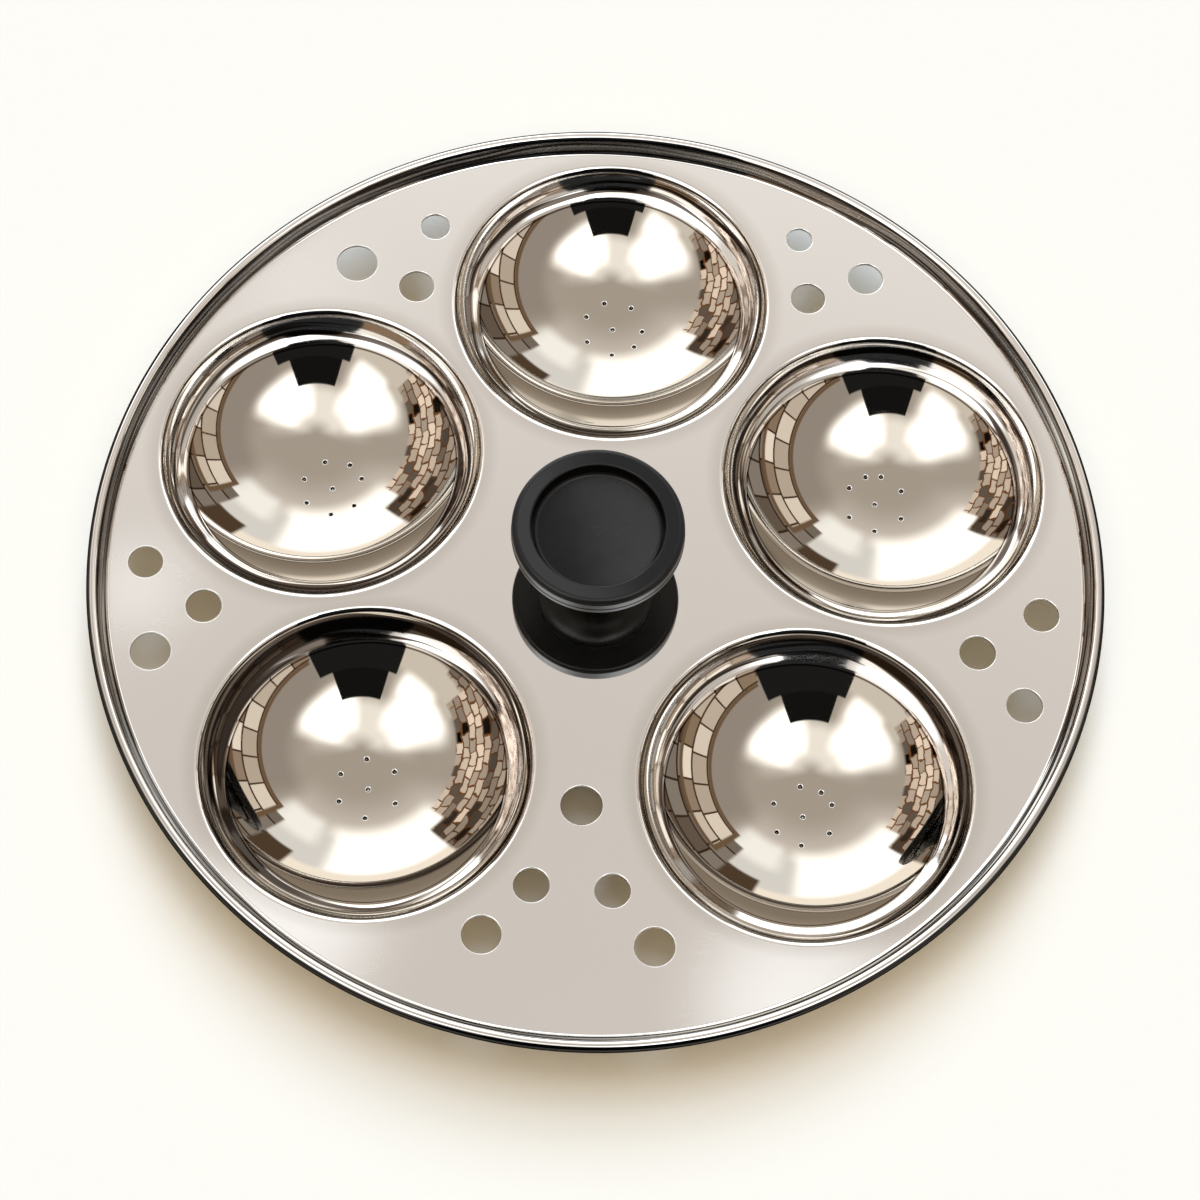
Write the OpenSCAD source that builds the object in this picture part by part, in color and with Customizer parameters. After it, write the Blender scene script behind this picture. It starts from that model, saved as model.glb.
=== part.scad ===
// Steaming plate for five rice cakes, lifted by a screwed-on knob.
// Millimetres, +Z up, +Y away from the cook. The origin is under the middle of the
// plate, on the surface that the five cups stand on. Bearings run clockwise from +Y.

/* [Sheet] */
// Outer diameter over the rolled rim
plate_d = 240; // [238:1:250]
// Thickness of the stainless sheet
sheet = 0.8; // [0.7:0.1:0.9]

/* [Rim] */
// Height of the rolled bead's middle over the middle of the sheet
rim_rise = 3.2; // [3:0.1:4]
// Slope of the wall that carries the bead, degrees from the deck
rim_slope = 60; // [55:5:70]
// Radius at which the deck bends up into the wall
rim_bend_r = 1.2; // [1:0.1:1.5]
// Outer diameter of the rolled bead
bead_d = 2.8; // [2.6:0.1:3]

/* [Cups] */
// Diameter of a cup's mouth where the deck starts to bend down
mouth_d = 79; // [76:0.5:79]
// Diameter of the circle that the five cup middles lie on
cup_ring_d = 146; // [144:0.5:146]
// Angle between neighbouring cups, degrees; the gap at the front takes the rest
cup_step = 68; // [67:0.5:69]
// Radius of the rounded lip
lip_r = 1.3; // [1.1:0.1:1.5]
// Slope of the short wall under the lip, degrees
wall_slope = 62; // [58:1:66]
// Radius of the hollow that the wall runs out into
channel_r = 9; // [8:0.5:9.5]
// Length of the straight stretch between the hollow and the shoulder
ledge_w = 0.8; // [0.6:0.1:1.4]
// Slope of that stretch, degrees
ledge_slope = 28; // [26:1:31]
// Radius of the soft shoulder that turns down into the bowl
shoulder_r = 6; // [5:0.5:7]
// Slope of the bowl at its shoulder, degrees
bowl_slope = 40; // [39:1:42]
// Diameter of the flat land that each cup stands on
land_d = 6; // [4:1:8]

/* [Steam holes] */
// Diameter of the pin holes in the cups
pin_hole_d = 1.1; // [0.8:0.1:1.5]
// Radius of the ring of pin holes round each cup's middle
pin_ring_r = 7.5; // [6:0.1:8]

/* [Knob] */
// Height of the knob's top over the deck
knob_h = 22; // [21:0.5:24]
// Diameter of the knob's cap
cap_d = 40.4; // [39:0.2:42]
// Thickness of the cap at its edge
cap_t = 5.3; // [5:0.1:6]
// Diameter of the dished top where it meets the flat ring
dish_d = 32; // [30:0.5:33]
// Depth of the dished top
dish_depth = 3.2; // [2.6:0.1:3.4]
// Diameter of the bell under the cap
bell_d = 27.4; // [26:0.2:28]
// Diameter of the stem at its waist
waist_d = 15; // [14.6:0.2:17]
// Diameter of the stem's foot
foot_d = 19; // [18:0.5:20]

/* [Fastening] */
// Outside diameter of the screw's thread
screw_d = 4.9; // [4.9:0.02:4.96]
// Length of the screw under its head
screw_len = 12; // [11.5:0.5:12.5]
// Thickness of the seal between the knob and the deck
seal_t = 1; // [0.8:0.1:1.2]
// Thickness of the plain washer
washer_t = 1; // [0.8:0.1:1.2]
// Thickness of the spring washer, pressed flat
spring_t = 1.1; // [1:0.1:1.2]

/* [Hidden] */
$fn = 96;

// A bent sheet is walked along the middle of its thickness as a list of steps:
// [length] is a straight run, [radius, turn, parts] a bend, turning left when turn is positive.
// Each stop on the walk is [radius from the axis, height, heading].
function bend_stops(at, r, turn, parts) =
    let (s = sign(turn), c = [at[0], at[1]] + s * r * [-sin(at[2]), cos(at[2])])
    [for (i = [1:parts])
        let (h = at[2] + turn * i / parts)
        [c[0] + s * r * sin(h), c[1] - s * r * cos(h), h]];
function step_stops(at, step) =
    len(step) == 1
        ? [[at[0] + step[0] * cos(at[2]), at[1] + step[0] * sin(at[2]), at[2]]]
        : bend_stops(at, step[0], step[1], step[2]);
function walk(at, steps, i = 0) =
    i == len(steps)
        ? [at]
        : let (stops = step_stops(at, steps[i]))
          concat([at], [for (k = [0:1:len(stops) - 2]) stops[k]], walk(stops[len(stops) - 1], steps, i + 1));
function side(stops, off) =
    [for (s = stops) [max(0, s[0] - off * sin(s[2])), s[1] + off * cos(s[2])]];
function flip(list) = [for (i = [len(list) - 1:-1:0]) list[i]];
module bent_sheet(stops) polygon(concat(side(stops, sheet / 2), flip(side(stops, -sheet / 2))));

// The rim: the deck bends up into a sloping wall, which rolls over outwards into a bead.
bead_mid_r = (bead_d - sheet) / 2;
bead_turn = -270;
wall_len = (rim_rise - rim_bend_r * (1 - cos(rim_slope)) + bead_mid_r * cos(rim_slope)) / sin(rim_slope);
deck_r = plate_d / 2 - bead_d / 2 - bead_mid_r * sin(rim_slope)
    - wall_len * cos(rim_slope) - rim_bend_r * sin(rim_slope);
deck_walk = walk([0, 0, 0],
    [[deck_r], [rim_bend_r, rim_slope, 6], [wall_len], [bead_mid_r, bead_turn, 24]]);

// A cup: a flat collar, the lip, a short wall, a hollow flank, a soft shoulder and the bowl.
collar_w = 0.6;
wall_run = 0.4;
cup_top_walk = walk([mouth_d / 2 + collar_w, 0, 180],
    [[collar_w], [lip_r, wall_slope, 8], [wall_run], [channel_r, ledge_slope - wall_slope, 8],
     [ledge_w], [shoulder_r, bowl_slope - ledge_slope, 6]]);
bowl_top = cup_top_walk[len(cup_top_walk) - 1];
bowl_r = bowl_top[0] / sin(bowl_slope);
cup_walk = concat(cup_top_walk, bend_stops(bowl_top, bowl_r, -bowl_slope, 14));
cup_drop = -cup_walk[len(cup_walk) - 1][1] + sheet / 2;
land_cut = bowl_r + sheet / 2 - sqrt(pow(bowl_r + sheet / 2, 2) - pow(land_d / 2, 2));

deck_mid = cup_drop - land_cut;
deck_top = deck_mid + sheet / 2;
deck_under = deck_mid - sheet / 2;
cup_bearings = [0, cup_step, 2 * cup_step, -2 * cup_step, -cup_step];
cut = 5;

// The steam vents between the cups stand in threes: two by the rim, one nearer the knob.
// Each three has its bearing, the distance of its outer pair from the knob's axis,
// half that pair's spacing, the punches used, and 1 to the right of the back cup or -1 to its left.
trio_depth = 13;
trio_lean = 1.2;
trios = [
    [31.8, 103.5, 9.8, [8.5, 6.4, 8.3], 1],
    [100.2, 105, 11.9, [8.4, 8.3, 8.4], 1],
    [32.2, 101.3, 11, [10, 7.1, 8.5], -1],
    [98.9, 106, 11.6, [9.4, 8.1, 8.3], -1]];
// The wide gap at the front has one vent near the knob, given by its bearing, its distance and
// its punch, and two pairs behind it, each with its distance from the axis, half the angle
// between the two, and the punches on the right and on the left.
front_bearing = 181.2;
front_single = [180.5, 60.8, 9.5];
front_pairs = [[81.4, 6.5, 8, 8.1], [95.4, 11.8, 9.1, 8.9]];

// The pin holes are pricked by hand, so their rings sit a little off the cups' middles and
// their bearings wander.
pin_offsets = [[0.8, 1.8], [-0.2, 1.8], [0.7, -1.5], [-0.2, -0.2], [1.8, -1.5]];
pin_bearings = [
    [-19, 36, 94, 131, 179, 237, 294],
    [-19, 11, 60, 120, 180, 237, 301],
    [-6, 34, 65, 123, 182, 234, 292],
    [-7, 52, 117, 181, 241, 296],
    [-19, 30, 68, 130, 178, 233, 286]];

knob_foot_z = deck_top + seal_t;
knob_top_z = deck_top + knob_h;
insert_len = 10;
insert_across = 8;
insert_neck_d = 6.6;
insert_neck_len = 3;
insert_bore_d = 5;
blind_len = 12;
hole_d = 5.4;
washer_hole_d = 5.3;
washer_d = 10;
spring_d = 8.8;
spring_gap = 0.9;
seal_d = 17;
head_d = 9.6;
head_h = 3.2;
head_round = 1.2;
screw_seat_z = deck_under - washer_t - spring_t;

module at_bearing(bearing, r) translate([r * sin(bearing), r * cos(bearing), 0]) children();

function arc(c, r, from, to, parts) =
    [for (i = [0:parts]) let (a = from + (to - from) * i / parts) [c[0] + r * cos(a), c[1] + r * sin(a)]];

module cup_shell() translate([0, 0, deck_mid]) rotate_extrude() bent_sheet(cup_walk);

module vent(d) translate([0, 0, deck_under - cut]) cylinder(d = d, h = sheet + 2 * cut);

module vent_trio(bearing, ring_r, half_gap, sizes, hand) {
    rotate(-hand * bearing) {
        translate([hand * half_gap, ring_r, 0]) vent(sizes[0]);
        translate([-hand * half_gap, ring_r, 0]) vent(sizes[1]);
        translate([hand * trio_lean, ring_r - trio_depth, 0]) vent(sizes[2]);
    }
}

module front_vents() {
    at_bearing(front_single[0], front_single[1]) vent(front_single[2]);
    for (p = front_pairs) {
        at_bearing(front_bearing - p[1], p[0]) vent(p[2]);
        at_bearing(front_bearing + p[1], p[0]) vent(p[3]);
    }
}

module pin_holes(bearings) {
    translate([0, 0, -cut]) cylinder(d = pin_hole_d, h = 2 * cut, $fn = 32);
    for (b = bearings)
        at_bearing(b, pin_ring_r) translate([0, 0, -cut]) cylinder(d = pin_hole_d, h = 2 * cut, $fn = 32);
}

module idli_plate() {
    color([0.86, 0.84, 0.81])
    difference() {
        union() {
            difference() {
                translate([0, 0, deck_mid]) rotate_extrude($fn = 180) bent_sheet(deck_walk);
                for (b = cup_bearings)
                    at_bearing(b, cup_ring_d / 2)
                        translate([0, 0, deck_under - cut])
                            cylinder(d = mouth_d + collar_w, h = sheet + 2 * cut);
            }
            for (b = cup_bearings) at_bearing(b, cup_ring_d / 2) cup_shell();
        }
        for (i = [0:4]) {
            at_bearing(cup_bearings[i], cup_ring_d / 2) {
                translate(pin_offsets[i]) pin_holes(pin_bearings[i]);
                translate([0, 0, -cut]) cylinder(d = 3 * land_d, h = cut);
            }
        }
        for (t = trios) vent_trio(t[0], t[1], t[2], t[3], t[4]);
        front_vents();
        vent(hole_d);
    }
}

// The insert's outside, which the knob is moulded round: a hexagon with a round neck.
module insert_blank() {
    difference() {
        translate([0, 0, knob_foot_z])
            cylinder(d = insert_across / cos(30), h = insert_len, $fn = 6);
        translate([0, 0, knob_foot_z + (insert_len - insert_neck_len) / 2])
            difference() {
                cylinder(d = 2 * insert_across, h = insert_neck_len);
                translate([0, 0, -1]) cylinder(d = insert_neck_d, h = insert_neck_len + 2);
            }
    }
}

// Half section of the knob: foot, waist, bell, a groove under the cap, the cap and its dish.
edge_r = 1.4;
lower_edge_r = 1;
foot_edge_r = 0.8;
foot_t = 2.4;
groove_w = 2;
groove_depth = 0.8;
dish_draft = 0.5;
dish_edge_r = 0.5;
dish_corner_r = 0.9;
cap_under_z = knob_top_z - cap_t;
cap_r = cap_d / 2;
dish_r = dish_d / 2;
dish_z = knob_top_z - dish_depth;
bell_r = bell_d / 2;
waist_r = waist_d / 2;
foot_r = foot_d / 2;
cove_h = 3.4;
bell_base_z = knob_foot_z + foot_t + cove_h;
bell_h = cap_under_z - bell_base_z;
bell_drop = 0.5;
floor_r = dish_r - dish_edge_r - dish_draft - dish_corner_r;

// The foot's cove and the bell are quarter ellipses that meet at the waist.
cove = [for (a = [0:15:90]) [waist_r + (foot_r - foot_edge_r - waist_r) * (1 - sin(a)),
    knob_foot_z + foot_t + cove_h * (1 - cos(a))]];
bell = [for (a = [8:8:88]) [waist_r + (bell_r - waist_r) * (1 - cos(a)),
    bell_base_z + (bell_h - bell_drop) * sin(a)]];
knob_outline = concat(
    [[0, knob_foot_z]],
    arc([foot_r - foot_edge_r, knob_foot_z + foot_edge_r], foot_edge_r, -90, 0, 4),
    arc([foot_r - foot_edge_r, knob_foot_z + foot_t - foot_edge_r], foot_edge_r, 0, 90, 4),
    [for (i = [1:len(cove) - 1]) cove[i]],
    bell,
    [[bell_r, cap_under_z - bell_drop], [bell_r, cap_under_z + groove_depth],
     [bell_r + groove_w, cap_under_z + groove_depth], [bell_r + groove_w, cap_under_z]],
    arc([cap_r - lower_edge_r, cap_under_z + lower_edge_r], lower_edge_r, -90, 0, 5),
    arc([cap_r - edge_r, knob_top_z - edge_r], edge_r, 0, 90, 6),
    arc([dish_r, knob_top_z - dish_edge_r], dish_edge_r, 90, 170, 4),
    arc([floor_r, dish_z + dish_corner_r], dish_corner_r, -10, -90, 5),
    [[0, dish_z]]);

module knob() {
    color([0.05, 0.05, 0.05])
    difference() {
        rotate_extrude() polygon(knob_outline);
        insert_blank();
        translate([0, 0, knob_foot_z + insert_len / 2])
            cylinder(d = insert_bore_d, h = blind_len - insert_len / 2);
    }
}

module knob_insert() {
    color([0.78, 0.62, 0.3])
    difference() {
        insert_blank();
        translate([0, 0, knob_foot_z - 1]) cylinder(d = insert_bore_d, h = insert_len + 2);
    }
}

module ring(outer_d, inner_d, t) {
    difference() {
        cylinder(d = outer_d, h = t);
        translate([0, 0, -1]) cylinder(d = inner_d, h = t + 2);
    }
}

module knob_seal() color([0.62, 0.2, 0.14]) translate([0, 0, deck_top]) ring(seal_d, hole_d, seal_t);

module plain_washer()
    color([0.8, 0.8, 0.8]) translate([0, 0, deck_under - washer_t]) ring(washer_d, washer_hole_d, washer_t);

// Split on a slant, so that its two ends bite the washer and the screw head.
module spring_washer() {
    color([0.6, 0.6, 0.62])
    translate([0, 0, screw_seat_z])
        difference() {
            ring(spring_d, washer_hole_d, spring_t);
            translate([washer_hole_d / 4 + spring_d / 4, 0, spring_t / 2])
                rotate([35, 0, 0]) cube([spring_d / 2, spring_gap, 4 * spring_t], center = true);
        }
}

// A pan head below, with a cross recess, and the thread's outside as a plain shank.
module knob_screw() {
    recess_w = 1.1;
    recess_span = 4.6;
    recess_depth = 1.8;
    head_z = screw_seat_z - head_h;
    head = concat([[0, screw_seat_z], [0, head_z]],
        arc([head_d / 2 - head_round, head_z + head_round], head_round, -90, 0, 6),
        [[head_d / 2, screw_seat_z]]);
    color([0.74, 0.74, 0.76])
    difference() {
        union() {
            rotate_extrude() polygon(head);
            translate([0, 0, screw_seat_z - 0.5]) cylinder(d = screw_d, h = screw_len + 0.5);
        }
        for (a = [0, 90])
            rotate(a)
                translate([0, 0, head_z])
                    cube([recess_span, recess_w, 2 * recess_depth], center = true);
    }
}

idli_plate();
knob();
knob_insert();
knob_seal();
knob_screw();
plain_washer();
spring_washer();
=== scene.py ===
import bpy
import math
import numpy as np
from mathutils import Matrix, Vector
from mathutils.geometry import delaunay_2d_cdt


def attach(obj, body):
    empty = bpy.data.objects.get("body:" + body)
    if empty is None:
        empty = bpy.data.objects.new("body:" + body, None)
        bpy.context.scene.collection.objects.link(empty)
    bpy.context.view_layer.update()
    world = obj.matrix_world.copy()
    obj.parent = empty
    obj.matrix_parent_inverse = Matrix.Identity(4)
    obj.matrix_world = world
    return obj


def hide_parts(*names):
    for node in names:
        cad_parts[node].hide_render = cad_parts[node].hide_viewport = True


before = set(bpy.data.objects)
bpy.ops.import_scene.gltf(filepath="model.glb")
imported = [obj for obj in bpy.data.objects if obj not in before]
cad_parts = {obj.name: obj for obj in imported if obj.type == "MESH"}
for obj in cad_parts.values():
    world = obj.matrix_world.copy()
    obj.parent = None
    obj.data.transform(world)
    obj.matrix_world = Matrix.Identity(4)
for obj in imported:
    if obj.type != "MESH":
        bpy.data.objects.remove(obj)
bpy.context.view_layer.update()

# The plate: one disc of 0.8 mm stainless sheet with five cups drawn down into its deck and
# its edge spun up into a short wall and a bead rolled outwards. The sheet is followed along
# the middle of its thickness, in millimetres, as (distance from the axis, height, heading).
sheet = 0.8
half = sheet / 2
plate_r = 120
rim_rise, rim_slope, rim_bend_r, bead_r = 3.2, 60, 1.2, 1.4
mouth_r, cup_ring_r = 39.5, 73
lip_r, wall_slope, wall_run, hollow_r = 1.3, 62, 0.4, 9
flank_run, flank_slope, shoulder_r, bowl_slope = 0.8, 28, 6, 40
land_r = 3
pin_patch_r = 11.5
cup_turns = [0, 68, 136, -136, -68]
cup_parts, rim_parts, vent_parts, pin_parts = 160, 400, 56, 20

# Each corner of the sheet carries a finish: which face it is on, and on the cups and the rim
# also how many millimetres it lies down from the mouth or out from the deck.
hole_wall, under_deck, on_top, rolled_edge = -2.0, -1.0, 0.0, 0.5
cup_mouth, bowl_floor, cups_end, rim_start, rim_foot = 1.0, 1.2, 1.4, 1.6, 2.0
per_mm, in_metres = 0.01, 0.001


def walk(stop, *steps):
    """Follows the sheet: (length,) is a straight run and (radius, turn, parts) a bend."""
    stops = [stop]
    for step in steps:
        r, z, h = stops[-1]
        if len(step) == 1:
            ahead = math.radians(h)
            stops.append((r + step[0] * math.cos(ahead), z + step[0] * math.sin(ahead), h))
            continue
        radius, turn, parts = step
        s = math.copysign(radius, turn)
        cr, cz = r - s * math.sin(math.radians(h)), z + s * math.cos(math.radians(h))
        for i in range(1, parts + 1):
            a = math.radians(h + turn * i / parts)
            stops.append((cr + s * math.sin(a), cz - s * math.cos(a), h + turn * i / parts))
    return stops


cup_walk = walk((mouth_r, 0, 180), (lip_r, wall_slope, 14), (wall_run,),
                (hollow_r, flank_slope - wall_slope, 16), (flank_run,),
                (shoulder_r, bowl_slope - flank_slope, 8))
bowl_r = cup_walk[-1][0] / math.sin(math.radians(bowl_slope))
bowl_mid_z = cup_walk[-1][1] + bowl_r * math.cos(math.radians(bowl_slope))
land_drop = bowl_r + half - math.sqrt((bowl_r + half) ** 2 - land_r ** 2)
deck_z = bowl_r + half - bowl_mid_z - land_drop
patch_turn = bowl_slope - math.degrees(math.asin(pin_patch_r / bowl_r))
cup_walk += walk(cup_walk[-1], (bowl_r, -patch_turn, 22))[1:]

bead_mid_r = bead_r - half
slope = math.radians(rim_slope)
wall_len = (rim_rise - rim_bend_r * (1 - math.cos(slope)) + bead_mid_r * math.cos(slope)) / math.sin(slope)
deck_r = plate_r - bead_r - (bead_mid_r + rim_bend_r) * math.sin(slope) - wall_len * math.cos(slope)
rim_walk = walk((deck_r, 0, 0), (rim_bend_r, rim_slope, 10), (wall_len / 2,), (wall_len / 2,),
                (bead_mid_r, -270, 40))


class Blank:
    """Corners with their own normals, collected face by face and joined where they meet."""

    def __init__(self):
        self.co, self.no, self.tag, self.faces = [], [], [], []
        self.count = 0

    def add(self, co, no, faces, tag=0.0):
        self.co.append(np.asarray(co, float))
        self.no.append(np.asarray(no, float))
        self.tag.append(np.zeros(len(co)) + tag)
        self.faces += [tuple(i + self.count for i in f) for f in faces]
        self.count += len(co)

    def grid(self, co, no, tag=0.0, closed=True, flip=False):
        """co and no are rings x parts x 3; neighbouring rings are bridged with quads."""
        rings, parts = co.shape[:2]
        faces = []
        for i in range(rings - 1):
            for j in range(parts if closed else parts - 1):
                k = (j + 1) % parts
                f = (i * parts + j, i * parts + k, (i + 1) * parts + k, (i + 1) * parts + j)
                faces.append(f[::-1] if flip else f)
        self.add(co.reshape(-1, 3), no.reshape(-1, 3), faces, tag)

    def take(self, other, at):
        """Adds another blank, moved to at."""
        co, no, tag = (np.concatenate(v) for v in (other.co, other.no, other.tag))
        self.add(co + np.array((*at, 0.0)), no, other.faces, tag)

    def piece(self, name, material):
        co, no, tag = (np.concatenate(v) for v in (self.co, self.no, self.tag))
        _, first, where = np.unique(np.round(co, 5), axis=0, return_index=True, return_inverse=True)
        where = where.reshape(-1)
        faces, corners = [], []
        for f in self.faces:
            g = [int(where[i]) for i in f]
            keep = [k for k in range(len(g)) if g[k] != g[k - 1]]
            if len(keep) > 2:
                faces.append([g[k] for k in keep])
                corners += [f[k] for k in keep]
        mesh = bpy.data.meshes.new(name)
        mesh.from_pydata((co[first] * in_metres).tolist(), [], faces)
        mesh.polygons.foreach_set("use_smooth", np.ones(len(faces), bool))
        finish = mesh.attributes.new("finish", "FLOAT", "CORNER")
        finish.data.foreach_set("value", tag[corners].astype(np.float32))
        mesh.normals_split_custom_set(no[corners].tolist())
        mesh.materials.append(material)
        obj = bpy.data.objects.new(name, mesh)
        bpy.context.scene.collection.objects.link(obj)
        return obj


def circle(parts):
    """Points of a unit circle, clockwise from the far side."""
    a = 2 * np.pi * np.arange(parts) / parts
    return np.stack([np.sin(a), np.cos(a)], 1)


def spin(blank, profile, normals, parts, at=(0, 0), tag=0.0, flip=False):
    """Turns [r, z] points with [r, z] normals about the upright axis through at."""
    ring = circle(parts)
    co = np.array([[(at[0] + r * x, at[1] + r * y, z) for x, y in ring] for r, z in profile])
    no = np.array([[(n * x, n * y, m) for x, y in ring] for n, m in normals])
    blank.grid(co, no, np.repeat(tag, parts) if np.ndim(tag) else tag, flip=flip)


def both_faces(blank, stops, parts, at, upper, tag):
    """The two faces of the bent sheet; upper is 1 where the walk's left hand is the top."""
    for hand in (1, -1):
        s = hand * upper
        normals = [(-s * math.sin(math.radians(h)), s * math.cos(math.radians(h))) for _, _, h in stops]
        profile = [(r + half * n[0], deck_z + z + half * n[1]) for (r, z, _), n in zip(stops, normals)]
        if hand < 0:
            profile = [(r, max(z, 0)) for r, z in profile]
        spin(blank, profile, normals, parts, at, tag if hand > 0 else under_deck, flip=s < 0)


def lengths(stops):
    """How far each stop of a walk lies from its start, along the sheet."""
    steps = [math.hypot(b[0] - a[0], b[1] - a[1]) for a, b in zip(stops, stops[1:])]
    return np.cumsum([0] + steps)


def bearing(turn, r):
    """A place at turn degrees clockwise from the far side, r from the plate's axis."""
    return r * math.sin(math.radians(turn)), r * math.cos(math.radians(turn))


plate = Blank()
both_faces(plate, rim_walk, rim_parts, (0, 0), 1, rim_foot + per_mm * lengths(rim_walk))
cup_at = [bearing(turn, cup_ring_r) for turn in cup_turns]
for at in cup_at:
    both_faces(plate, cup_walk, cup_parts, at, -1, cup_mouth + per_mm * lengths(cup_walk))

# The cut edge of the sheet closes the curl of the bead.
end_r, end_z, end_h = rim_walk[-1]
side = (-math.sin(math.radians(end_h)), math.cos(math.radians(end_h)))
ahead = (math.cos(math.radians(end_h)), math.sin(math.radians(end_h)))
spin(plate, [(end_r + k * half * side[0], deck_z + end_z + k * half * side[1]) for k in (1, -1)],
     [ahead, ahead], rim_parts, tag=under_deck)

# The holes: steam vents punched in threes between the cups and five in the gap at the front,
# the screw's hole in the middle, and pin holes pricked by hand in each bowl. The punch leaves
# the edges rolled in a little, which shows as a bright line round every hole.

# A trio is (turn, ring radius, half its gap, its three widths, hand), a front hole (turn, ring
# radius, width), and the pins of a bowl are one near its middle and the rest round that one.
trios = [(31.8, 103.5, 9.8, (8.5, 6.4, 8.3), 1), (100.2, 105, 11.9, (8.4, 8.3, 8.4), 1),
         (32.2, 101.3, 11, (10, 7.1, 8.5), -1), (98.9, 106, 11.6, (9.4, 8.1, 8.3), -1)]
trio_depth, trio_lean = 13, 1.2
front_holes = [(180.5, 60.8, 9.5), (174.7, 81.4, 8), (187.7, 81.4, 8.1), (169.4, 95.4, 9.1), (193, 95.4, 8.9)]
screw_hole_d = 5.4
pin_ring_r, pin_r = 7.5, 0.5
pin_offsets = [(0.8, 1.8), (-0.2, 1.8), (0.7, -1.5), (-0.2, -0.2), (1.8, -1.5)]
pin_turns = [(-19, 36, 94, 131, 179, 237, 294), (-19, 11, 60, 120, 180, 237, 301),
             (-6, 34, 65, 123, 182, 234, 292), (-7, 52, 117, 181, 241, 296),
             (-19, 30, 68, 130, 178, 233, 286)]
vent_edge, pin_edge, pin_throat = 0.3, 0.24, 0.24

holes = [(0, 0, screw_hole_d / 2)]
for turn, ring_r, gap, sizes, hand in trios:
    a = math.radians(hand * turn)
    for x, y, d in ((hand * gap, ring_r, sizes[0]), (-hand * gap, ring_r, sizes[1]),
                    (hand * trio_lean, ring_r - trio_depth, sizes[2])):
        holes.append((x * math.cos(a) + y * math.sin(a), y * math.cos(a) - x * math.sin(a), d / 2))
holes += [(*bearing(turn, r), d / 2) for turn, r, d in front_holes]


def pierced_patch(blank, outer, rounds, surface, fill, tag):
    """Fills the sheet inside the outer loop with triangles, leaving out the round holes.
    surface(x, y) gives the middle of the sheet there and its upward normal."""
    points, edges = [], []
    for loop in [outer] + [[(x + r * c[0], y + r * c[1]) for c in circle(n)] for x, y, r, n in rounds]:
        start = len(points)
        points += [Vector(p) for p in loop]
        edges += [(start + i, start + (i + 1) % len(loop)) for i in range(len(loop))]
    points += [Vector(p) for p in fill]
    flat, _, tris, *_ = delaunay_2d_cdt(points, edges, [], 0, 1e-6)
    shown = []
    limit = max(math.hypot(*p) for p in outer)
    for t in tris:
        cx, cy = (sum(flat[i][k] for i in t) / 3 for k in (0, 1))
        if math.hypot(cx, cy) < limit and all(math.hypot(cx - x, cy - y) > r for x, y, r, _ in rounds):
            a, b, c = (flat[i] for i in t)
            turned = (b - a).cross(c - a) < 0
            shown.append(tuple(reversed(t)) if turned else tuple(t))
    mid, up = (np.array(v) for v in zip(*(surface(p[0], p[1]) for p in flat)))
    under = mid - half * up
    under[:, 2] = np.maximum(under[:, 2], 0)
    blank.add(mid + half * up, up, shown, tag)
    blank.add(under, -up, [t[::-1] for t in shown], under_deck)


def punched_edge(blank, x, y, r, edge, parts, surface, throat=None):
    """The rolled-in edges and the wall of one round hole, narrowed to throat if it is pricked."""
    rings, normals = [], []
    edge_parts = 6
    for top in (1, -1):
        for k in range(edge_parts):
            a = math.radians(90 * k / (edge_parts - 1))
            if top < 0:
                a = math.radians(90) - a
            rings.append((r + edge - edge * math.sin(a), top * (half - edge * (1 - math.cos(a)))))
            normals.append((-math.sin(a), top * math.cos(a)))
    tags = [rolled_edge] * edge_parts + [hole_wall] * edge_parts
    if throat:
        rings.insert(edge_parts, (throat, 0.0))
        normals.insert(edge_parts, (-1.0, 0.0))
        tags.insert(edge_parts, hole_wall)
    co, no = [], []
    for (s, d), (ns, nd) in zip(rings, normals):
        for c in circle(parts):
            mid, up = (np.array(v) for v in surface(x + s * c[0], y + s * c[1]))
            out = np.array((c[0], c[1], 0.0))
            out -= up * out.dot(up)
            out /= np.linalg.norm(out)
            p = mid + d * up
            p[2] = max(p[2], 0)
            co.append(p)
            no.append(ns * out + nd * up)
    shape = (len(rings), parts, 3)
    blank.grid(np.array(co).reshape(shape), np.array(no).reshape(shape), np.repeat(tags, parts), flip=True)


def deck_surface(x, y):
    return (x, y, deck_z), (0.0, 0.0, 1.0)


deck_step, deck_margin, vent_margin, pin_margin = 5.0, 2, 1.5, 0.35
row_step, steps_out, rows_out = 0.866 * deck_step, 26, 30
deck_fill = []
for i in range(-steps_out, steps_out + 1):
    for j in range(-rows_out, rows_out + 1):
        x, y = deck_step * (i + 0.5 * (j % 2)), row_step * j
        if math.hypot(x, y) > deck_r - deck_margin:
            continue
        if any(math.hypot(x - a, y - b) < mouth_r + deck_margin for a, b in cup_at):
            continue
        if all(math.hypot(x - a, y - b) > r + vent_edge + vent_margin for a, b, r in holes):
            deck_fill.append((x, y))
deck_rounds = [(x, y, mouth_r, cup_parts) for x, y in cup_at]
deck_rounds += [(x, y, r + vent_edge, vent_parts) for x, y, r in holes]
deck_outline = [tuple(deck_r * c) for c in circle(rim_parts)]
pierced_patch(plate, deck_outline, deck_rounds, deck_surface, deck_fill, on_top)
for x, y, r in holes:
    punched_edge(plate, x, y, r, vent_edge, vent_parts, deck_surface)


def bowl_surface(x, y):
    """A bowl's middle surface, measured from the cup's own axis."""
    z = math.sqrt(bowl_r ** 2 - x * x - y * y)
    return (x, y, deck_z + bowl_mid_z - z), (-x / bowl_r, -y / bowl_r, z / bowl_r)


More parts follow.
